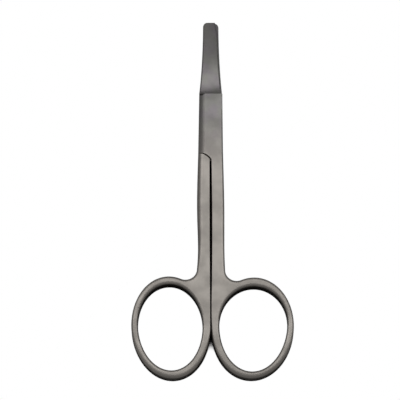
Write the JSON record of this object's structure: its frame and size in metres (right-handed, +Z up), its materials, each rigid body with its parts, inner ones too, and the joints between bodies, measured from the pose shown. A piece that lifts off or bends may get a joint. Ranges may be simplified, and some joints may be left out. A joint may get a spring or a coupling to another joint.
{
  "type": "surgical scissors",
  "caption": "Slim operating scissors with curved blunt blades, a screwed lap joint and oval finger rings, for cutting soft tissue or suture.",
  "frame": {"origin": "centre of the closed scissors' outline, on the surface that they lie on", "axes": "+Y along the scissors from the rings towards the tips, +Z up from the surface, the way the tips curve, +X to the right seen from above with the tips ahead; the pivot's axis is x = 0, y = 23.35 mm, along Z"},
  "size_m": [0.0491, 0.1142, 0.0084],
  "materials": {
    "steel_lower": "satin",
    "steel_upper": "satin",
    "steel_screw": "satin"
  },
  "bodies": {
    "lower": {"lower_half": "steel_lower"},
    "upper": {"upper_half": "steel_upper", "pivot_screw": "steel_screw"}
  },
  "joints": [
    {"name": "pivot", "type": "hinge", "parent": "lower", "child": "upper", "pos_m": [0, 0.02335, 0.0023], "axis": [0, 0, 1], "range_deg": [0, 75]}
  ]
}
